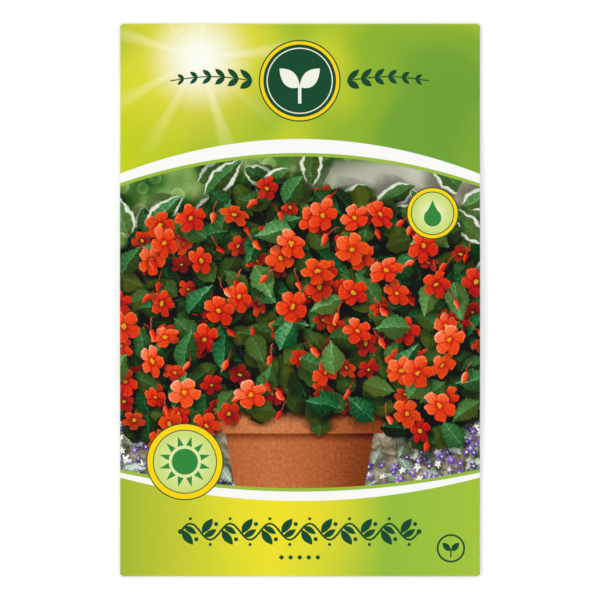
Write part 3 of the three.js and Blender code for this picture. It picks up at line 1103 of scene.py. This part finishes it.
def numeral_distance(at, numeral, size, weight):
    """The least distance to the strokes whose code's binary digit for this numeral is 1."""
    nearest = None
    for start, end, lights in STROKES:
        ends = [tuple(np.array(point) * size) for point in (start, end)]
        code = sum(2**value for value in lights)
        lit = whole(code / 2.0**numeral)
        unlit = 1 - (fraction(lit / 2) * 2)
        gap = stroke_distance(at, *ends, weight) + unlit * FAR_OFF
        nearest = gap if nearest is None else least(nearest, gap)
    return nearest


# %% The sowing calendar
CALENDAR_Y, BOX, BOX_HEIGHT = 98.0, 6.9, 7.0
CALENDAR_X = (WIDTH - 12 * BOX) / 2
NUMERAL, NUMERAL_WEIGHT = 1.3, 0.34
# Each bar: its height on the sheet, its first and last box, and its colour.
BARS = [(91.5, 1.0, 4.0, "#f0a71f"), (87.5, 4.4, 6.0, "#3f9a3c"), (83.5, 5.2, 9.6, "#d8401f")]


def calendar(place, ground):
    """Boxes by the fraction of x over the pitch, and in each one its number from 1 to 12."""
    x, y = split(place)
    across = (x - CALENDAR_X) / BOX
    month = whole(across)
    in_x = fraction(across) * BOX - BOX / 2
    in_y = y - CALENDAR_Y - BOX_HEIGHT / 2
    on_row = (abs(across - 6) < 6) * (abs(in_y) < BOX_HEIGHT / 2)
    card = most(abs(in_x) - BOX / 2 + 0.25, abs(in_y) - BOX_HEIGHT / 2 + 0.25)
    ground = mix(ground, "#dfe9a8", inside(card) * on_row)
    numeral = month + 1
    two = numeral > 9.5
    units = numeral - two * 10
    corner = [in_x + NUMERAL / 2 - two * 0.85, in_y + NUMERAL]
    spot = place.paint.node("ShaderNodeCombineXYZ", (), corner)
    figure = numeral_distance(spot, units, NUMERAL, NUMERAL_WEIGHT)
    ten = most(abs(in_x + 1.15) - NUMERAL_WEIGHT / 2, abs(in_y) - NUMERAL) + (1 - two) * FAR_OFF
    ground = mix(ground, INK_DARK, inside(least(figure, ten)) * on_row)
    for bar_y, first, last, code in BARS:
        middle = CALENDAR_X + (first + last) / 2 * BOX
        half = (last - first) / 2 * BOX
        rail = most(abs(x - WIDTH / 2) - 6 * BOX, abs(y - bar_y) - 0.12)
        ground = mix(ground, "#b9cf86", inside(rail))
        round_bar = stroke_distance(place, (middle - half, bar_y), (middle + half, bar_y), 2.2)
        ground = mix(ground, code, inside(round_bar))
    return ground


# %% Pictograms, note lines and the ground behind them
# Each pictogram: its outline and its size.
PICTOGRAMS = [(sun_distance, 5.6), (drop_distance, 2.3), (sprout_distance, 4.6)]
PICTOGRAM_Y, PICTOGRAM_PITCH, PICTOGRAM_RING = 66.0, 24, 7.4
BACK_SPRAY, BACK_SPROUT = (WIDTH / 2, 118.0), (WIDTH / 2, 116.8)
NOTES_Y, NOTES_HALF, LINE_PITCH = 35, (38, 16), 6.5
END_BAND = 13


def back_print(place):
    """Pale in the middle, green at both ends where the flaps close over it."""
    place = vector("ADD", place, (WIDTH, 0, 0))
    x, y = split(place)
    ground = ramp(x / WIDTH, {0.0: "#f4f6dc", 0.6: "#f8f8ea", 1.0: "#eef3cd"})
    ground = calendar(place, ground)
    spray = spray_distance(place, BACK_SPRAY, 5.5, 3.6, 7)
    sprout = sprout_distance(place, BACK_SPROUT, 5.0)
    ground = mix(ground, INK_DARK, inside(least(spray, sprout)))
    for number, (icon, size) in enumerate(PICTOGRAMS):
        spot_x = WIDTH / 2 + (number - 1) * PICTOGRAM_PITCH
        disc = ring_distance(place, (spot_x, PICTOGRAM_Y))
        ground = mix(ground, "#8fb83a", inside(abs(disc - PICTOGRAM_RING) - 0.25))
        small = icon(place, (spot_x, PICTOGRAM_Y - 0.4), size)
        ground = mix(ground, INK_DARK, inside(small))
    line = abs(fraction(y / LINE_PITCH) - 0.5) * LINE_PITCH - 0.09
    ruled = most(line, abs(y - NOTES_Y) - NOTES_HALF[1])
    ruled = most(ruled, abs(x - WIDTH / 2) - NOTES_HALF[0])
    ground = mix(ground, "#9fb46a", inside(ruled))
    # The front's green runs on over the flaps, the tab and the ends of the back.
    past_side = abs(x - WIDTH / 2) - WIDTH / 2
    past_end = abs(y - BLANK_HEIGHT / 2) - BLANK_HEIGHT / 2 + END_BAND
    off_back = most(past_side, past_end)
    green = mix("#a9c02c", "#8ab236", eased(y, 0, BLANK_HEIGHT))
    return mix(ground, green, inside(off_back * -1))


# %% [markdown]
# ## Coated paper and bare paper
#
# The printed side has a thin clay coat, which gives an even, soft gloss over ink and white alike.
# The other side is bare: duller, whiter and a little fibrous. Along the folds the coat cracks as
# the sheet is creased, so the white of the paper shows there in hairline specks.


# %% Materials from functions
def finish(name, draw_surface, **options):
    """A material from a function that returns its surface."""
    material = bpy.data.materials.new(name)
    material.use_nodes = True
    paint = Paint(material.node_tree)
    paint.node("ShaderNodeOutputMaterial", (), {"Surface": draw_surface(paint, **options)})
    print(f"{name}: {len(paint.tree.nodes)} nodes.")
    return material


def dress(pieces, name, draw_surface):
    """One finish for all of those pieces."""
    material = finish(name, draw_surface)
    for piece in pieces:
        piece.data.materials.append(material)


def principled(paint, **sockets):
    """The shader, with sockets by name: base_color sets Base Color."""
    names = {"ior": "IOR"}
    inputs = {names.get(key, key.replace("_", " ").title()): value for key, value in sockets.items()}
    return paint.node("ShaderNodeBsdfPrincipled", (), inputs)


def relief(height, depth):
    """A normal from a height that runs from 0 to 1, which stands for depth in millimetres."""
    inputs = {"Strength": 1.0, "Distance": depth * MM, "Height": height}
    return height.paint.node("ShaderNodeBump", (), inputs)


INK_SHARE = 0.9


def coated_paper(paint, draw_print):
    """Ink under an even coat, worn in specks along the fold lines."""
    place = paint.node("ShaderNodeUVMap", {"uv_map": "Blank"})
    ink = draw_print(place)
    x, y = split(place)
    to_side = least(abs(x), abs(x - right_u))
    to_end = least(abs(y), abs(y - BLANK_HEIGHT))
    cracks = noise(place, 3.5, 4.0)
    worn = eased(cracks, 0.56, 0.66) * eased(least(to_side, to_end), 0.25, 0.0)
    ink = mix(ink, "#f3f1ea", worn * 0.45)
    ink = vector("SCALE", ink, Scale=INK_SHARE)
    fibre = noise(place, 9.0, 2.0)
    roughness = 0.2 + 0.12 * fibre + 0.3 * worn
    grain = relief(fibre, 0.012)
    return principled(paint, base_color=ink, roughness=roughness, ior=1.38, normal=grain)


def bare_paper(paint):
    """White pulp: fine fibres over slow, faint clouds."""
    place = paint.on_object()
    clouds = noise(place, 300.0, 2.0)
    fibre = noise(place, 5000.0, 3.0)
    tone = ramp(clouds * 0.5 + fibre * 0.5, {0.3: "#e2ded2", 0.7: "#f3f1ea"})
    return principled(paint, base_color=tone, roughness=0.75, normal=relief(fibre, 0.02))


sheet_finishes = [
    finish("Front_print", coated_paper, draw_print=front_print),
    finish("Back_print", coated_paper, draw_print=back_print),
    finish("Bare_paper", bare_paper),
]
for material in sheet_finishes:
    packet.data.materials.append(material)
finish_number = np.where(is_front, 0, np.where(is_outer, 1, 2))
packet.data.polygons.foreach_set("material_index", finish_number.astype(np.int32))
print(f"Faces with each finish: {np.bincount(finish_number).tolist()}.")

# %% [markdown]
# ## Adhesive
#
# A roller lays the adhesive down, so its edges wander, its face is streaked along the roll, and it
# thins out towards its rim. Each line is a thick sheet between two layers of paper.


# %% Three lines of adhesive
GLUE_MARGIN, WANDER, GLUE_GRAIN = 1.5, 0.25, 0.8


def adhesive_line(name, node, x_ends, y_ends, height):
    """A grid whose edges wander by sines, and whose thickness is GLUE * (1 - 0.6 edge ** 4), less
    in the streaks."""
    s, t = np.meshgrid(*(spread(-1, 1, 2 * GLUE_GRAIN / (b - a)) for a, b in (x_ends, y_ends)))
    half_x, half_y = np.diff(x_ends)[0] / 2, np.diff(y_ends)[0] / 2
    x = np.mean(x_ends) + s * (half_x - WANDER * (1 + np.sin(t * half_y * 0.9 + s * 2)) / 2)
    y = np.mean(y_ends) + t * (half_y - WANDER * (1 + np.sin(s * half_x * 0.7 + t * 3)) / 2)
    edge = np.maximum(np.abs(s), np.abs(t))
    streaks = 0.9 + 0.1 * np.sin(y * 5.0 + 0.6 * np.sin(x * 0.8))
    thickness = GLUE * (1 - 0.6 * edge**4) * streaks
    return make_sheet(name, x, y, height, thickness, node, "dried_glue")


def seam_height(x, y):
    return back_height(x, y) + LAYER / 2


def flap_seam_height(x, y):
    return 0 * x + (FLAP_Z + BACK_Z) / 2


seam_end = END_Y - GLUE_MARGIN
seam_half = FLAP_HALF - FLAP_TAPER - GLUE_MARGIN
flap_x = (-seam_half, seam_half)
bottom_y = (-seam_end, -(END_Y - BOTTOM_FLAP + GLUE_MARGIN))
top_y = (END_Y - TOP_FLAP + GLUE_MARGIN, seam_end)
seam_x = (TAB_X + GLUE_MARGIN, FREE_EDGE_X - GLUE_MARGIN)
adhesive_lines = [
    adhesive_line("seam_adhesive", "side_seam_glue", seam_x, (-seam_end, seam_end), seam_height),
    adhesive_line("bottom_adhesive", "bottom_flap_glue", flap_x, bottom_y, flap_seam_height),
    adhesive_line("top_adhesive", "top_flap_glue", flap_x, top_y, flap_seam_height),
]


def dried_adhesive(paint):
    """Ivory, glossier and a little darker in the streaks."""
    place = paint.on_object()
    stretched = vector("MULTIPLY", place, (300, 2500, 300))
    streaks = noise(stretched, 1.0, 3.0)
    tone = ramp(streaks, {0.35: "#cfc193", 0.65: "#efe6c6"})
    gloss, grain = 0.25 + 0.3 * streaks, relief(streaks, 0.02)
    return principled(paint, base_color=tone, roughness=gloss, ior=1.48, normal=grain)


dress(adhesive_lines, "Dried_adhesive", dried_adhesive)

# %% [markdown]
# ## The sachet
#
# Dust-fine seed is sold pelleted, in a foil sachet that keeps the damp out. Two films are pressed
# together between hot ribbed jaws, so the seal is corrugated across. The loose middle swells, and
# short wrinkles run in from the seals where the film has to give up length. Both films share the
# jaws' corrugation, so they lie on each other without touching.

# %% Two films
FILM, SEAL, SWELL = 0.08, 6.0, 2.3
FILM_GRAIN = 0.6
RIB, RIB_PITCH = 0.12, 3.0
WRINKLE, END_PITCH, SIDE_PITCH = 0.16, 6.1, 7.3


def seal_ribs(x, y):
    """Ribs across the seal: RIB * (1 - cos) / 2 of the distance along the nearer edge."""
    in_x = SACHET_WIDTH / 2 - np.abs(x)
    in_y = SACHET_HEIGHT / 2 - np.abs(y - SACHET_Y)
    depth = np.minimum(in_x, in_y)
    along = np.where(in_x < in_y, y - SACHET_Y, x)
    ribs = (1 - np.cos(along * TAU / RIB_PITCH)) / 2
    return RIB * ribs * smooth(SEAL - 0.5 - depth, 0, 1.5) * smooth(depth, 0.3, 1.2)


def sachet_swell(x, y):
    """SWELL times a parabola each way, less the wrinkles that run in from the seals."""
    half_x, half_y = SACHET_WIDTH / 2 - SEAL, SACHET_HEIGHT / 2 - SEAL
    s, t = x / half_x, (y - SACHET_Y) / half_y
    in_x, in_y = np.maximum(0, 1 - s**2), np.maximum(0, 1 - t**2)
    from_ends = (1 + np.sin(x * TAU / END_PITCH + 2 * np.sin(t * 2))) * np.abs(t) ** 3
    from_sides = (1 + np.sin(y * TAU / SIDE_PITCH + 2 * np.sin(s * 2))) * np.abs(s) ** 3
    return SWELL * in_x * in_y * (1 - WRINKLE * from_ends - WRINKLE * from_sides)


def back_film_height(x, y):
    return back_height(x, y) + PAPER / 2 + 3 * AIR + FILM / 2 + seal_ribs(x, y)


def front_film_height(x, y):
    return back_film_height(x, y) + FILM + AIR + sachet_swell(x, y)


def film(name, node, height):
    """The film's middle surface on an even grid, thickened to the film's own thickness."""
    half_x, half_y = SACHET_WIDTH / 2, SACHET_HEIGHT / 2
    along_y = spread(-half_y, half_y, FILM_GRAIN) + SACHET_Y
    x, y = np.meshgrid(spread(-half_x, half_x, FILM_GRAIN), along_y)
    return make_sheet(name, x, y, height, FILM, node, "foil_laminate", crease=60)


films = [
    film("back_foil", "sachet_back_film", back_film_height),
    film("front_foil", "sachet_front_film", front_film_height),
]


def foil_laminate(paint):
    """Bright metal under a lacquer. Handling has crumpled it into small facets. The distance from a
    Voronoi cell's middle rises evenly, so each cell is a cone, and the cones meet in creases. The
    colour is painted darker towards the creases: painted shade."""
    place = paint.on_object()
    crumple = cells(place, 110.0) + 0.35 * cells(place, 290.0)
    fine = noise(place, 4000.0, 2.0)
    return principled(
        paint,
        # Painted shade: the base colour darkens from each facet's middle towards the creases between
        # facets.
        base_color=ramp(crumple, {0.1: "#e9ebee", 0.9: "#c3c7cc"}),
        metallic=1.0,
        roughness=0.16 + 0.14 * fine,
        normal=relief(crumple + fine * 0.01, 1.1),
    )


dress(films, "Foil_laminate", foil_laminate)

# %% [markdown]
# ## Coated seeds
#
# A begonia's seed is finer than ground coffee. It is tumbled in clay until it is a ball of a
# millimetre that fingers can sow. Tumbling leaves flats and dents, so each ball is a sphere whose
# radius is taken down by a few sines, and never above its CAD radius, so the balls stay apart.

# %% A handful of seeds
SEEDS, SEED_RADIUS, SEED_SPACING, SEED_Y = 12, 0.55, 2.1, -12.0
SEED_ROWS, SEED_COLUMNS = 14, 20
GOLDEN_ANGLE = np.pi * (3 - np.sqrt(5))
DENT = 0.05


def round_quads(rows, columns):
    """The quads between closed rings of points that follow point 0, and the first ring."""
    first = 1 + np.arange(rows * columns).reshape(rows, columns)
    after = np.roll(first, -1, axis=1)
    quads = np.stack([first, first + columns, after + columns, after], -1)
    return quads.reshape(-1, 4).tolist(), first[0]


def fan(pole, ring, after):
    """Triangles from one point to a ring and to the next point along it."""
    return np.stack([0 * ring + pole, ring, after], -1).tolist()


def coated_seed(number):
    """radius * (1 - DENT * (1 + the mean of four sines of the direction)), closed at its poles."""
    reach = SEED_SPACING * np.sqrt(number + 0.5)
    x = reach * np.cos(number * GOLDEN_ANGLE)
    y = SEED_Y + reach * np.sin(number * GOLDEN_ANGLE)
    z = back_film_height(x, y) + FILM / 2 + AIR + SEED_RADIUS
    polar, around = np.meshgrid(
        np.linspace(0, np.pi, SEED_ROWS + 1)[1:-1],
        np.linspace(0, TAU, SEED_COLUMNS + 1)[:-1],
        indexing="ij",
    )
    flat = np.sin(polar)
    ring = np.stack([flat * np.cos(around), flat * np.sin(around), np.cos(polar)], -1)
    way = np.concatenate([[[0.0, 0.0, 1.0]], ring.reshape(-1, 3), [[0.0, 0.0, -1.0]]])
    waves = np.array([[3.1, 1.3, -2.2], [-1.7, 3.9, 2.6], [2.4, -3.3, 4.1], [5.2, 2.9, -4.7]])
    lumps = np.sin(way @ waves.T + number * np.array([1.9, 3.7, 0.8, 2.3])).mean(axis=1)
    vertices = way * (SEED_RADIUS * (1 - DENT * (1 + lumps)))[:, None] + (x, y, z)
    quads, top = round_quads(SEED_ROWS - 2, SEED_COLUMNS)
    foot = top + (SEED_ROWS - 2) * SEED_COLUMNS
    faces = quads + fan(0, top, np.roll(top, -1)) + fan(len(way) - 1, np.roll(foot, -1), foot)
    name, node = f"coated_seed_{number + 1:02d}", f"seed_pellet_{number + 1:02d}"
    return make_piece(name, vertices, faces, node, "pellet_coating", crease=80)


def clay_coating(paint):
    """Ochre clay: dusty specks over a slow change of tone."""
    place = paint.on_object()
    dust = noise(place, 9000.0, 3.0)
    slow = noise(place, 1200.0, 1.0)
    tone = ramp(dust * 0.6 + slow * 0.4, {0.3: "#a96f22", 0.5: "#d29a3e", 0.7: "#ecc27a"})
    return principled(paint, base_color=tone, roughness=0.8, normal=relief(dust, 0.05))


dress([coated_seed(number) for number in range(SEEDS)], "Clay_coating", clay_coating)

# %% [markdown]
# ## The studio
#
# A coated print shows every lamp in the room, so it is lit as a copy stand is: big soft panels
# around it, and nothing bright straight above, where the camera would see its own mirror image.
# The floor runs up into a wall with no corner, so no horizon shows from the side.

# %% Floor and wall in one sweep
FLOOR_RADIUS, SWEEP, WALL = 1300.0, 500.0, 900.0
WHITE_FLOOR = 150.0
SPOKES, FLOOR_RINGS, SWEEP_STEPS = 64, 12, 12


def studio_sweep():
    """A profile carried round the Z axis: flat to FLOOR_RADIUS, a quarter circle, a straight wall."""
    flat = np.linspace(0, FLOOR_RADIUS, FLOOR_RINGS + 2)[1:-1]
    bend = np.linspace(0, np.pi / 2, SWEEP_STEPS + 1)
    out = np.concatenate([flat, FLOOR_RADIUS + SWEEP * np.sin(bend), [FLOOR_RADIUS + SWEEP]])
    up = np.concatenate([0 * flat, SWEEP * (1 - np.cos(bend)), [SWEEP + WALL]])
    around = np.linspace(0, TAU, SPOKES + 1)[:-1]
    level = np.outer(up, 0 * around + 1)
    ring = np.stack([np.outer(out, np.cos(around)), np.outer(out, np.sin(around)), level], -1)
    vertices = np.concatenate([[[0.0, 0.0, 0.0]], ring.reshape(-1, 3)])
    quads, first = round_quads(len(out) - 1, SPOKES)
    return vertices, quads + fan(0, first, np.roll(first, -1))


sweep = add_object("studio_sweep", smooth_mesh("studio_sweep", *studio_sweep()))


def studio_paper(paint):
    """White under the packet, and greyer with distance, so the gloss has little to mirror."""
    place = paint.on_object()
    away = vector("LENGTH", place)
    backdrop = ramp(
        (away - WHITE_FLOOR * MM) / ((FLOOR_RADIUS - WHITE_FLOOR) * MM),
        {0.0: "#fcfcfc", 0.35: "#e4e6e8", 1.0: "#9a9fa5"},
    )
    backdrop = mix(backdrop, "#f4f4f2", noise(place, 3.0) * 0.1)
    return principled(paint, base_color=backdrop, roughness=0.95, ior=1.2)


dress([sweep], "Studio_paper", studio_paper)

# %% Soft panels and sky
PANEL, PANEL_REACH, PANEL_ELEVATION = 700.0, 1500, 40
# Each panel: its azimuth in degrees and its power in watts.
PANELS = [(180, 10.3), (90, 7.7), (270, 6.8), (0, 7.2)]
SKY, SKY_STRENGTH = (0.97, 0.98, 1.0, 1.0), 0.27


def soft_panel(name, azimuth, watts):
    """A square panel on a ring round the packet, facing it."""
    light = bpy.data.lights.new(name, "AREA")
    light.energy, light.size = watts, PANEL * MM
    panel = add_object(name, light)
    a, e = np.radians(azimuth), np.radians(PANEL_ELEVATION)
    way = np.array([np.cos(a) * np.cos(e), np.sin(a) * np.cos(e), np.sin(e)])
    panel.location = way * PANEL_REACH * MM
    panel.rotation_mode = "QUATERNION"
    panel.rotation_quaternion = panel.location.to_track_quat("Z", "Y")


for number, panel in enumerate(PANELS):
    soft_panel(f"soft_panel_{number + 1}", *panel)

world = bpy.data.worlds.new("Studio")
bpy.context.scene.world = world
world.use_nodes = True
background = world.node_tree.nodes["Background"]
background.inputs["Color"].default_value = SKY
background.inputs["Strength"].default_value = SKY_STRENGTH
bpy.context.scene.view_settings.view_transform = "Standard"

# %% The camera, straight above with a long lens
FRAME_PIXELS, PACKET_PIXELS = 600, 359.5
SENSOR, LENS = 36.0, 120.0
frame_width = WIDTH * FRAME_PIXELS / PACKET_PIXELS
camera = bpy.data.cameras.new("camera")
camera.sensor_width, camera.lens = SENSOR, LENS
eye = add_object("camera", camera)
eye.location = (0, 0, (BACK_Z + frame_width * LENS / SENSOR) * MM)
bpy.context.scene.camera = eye
print(f"The camera stands {eye.location.z:.3f} m above the floor.")
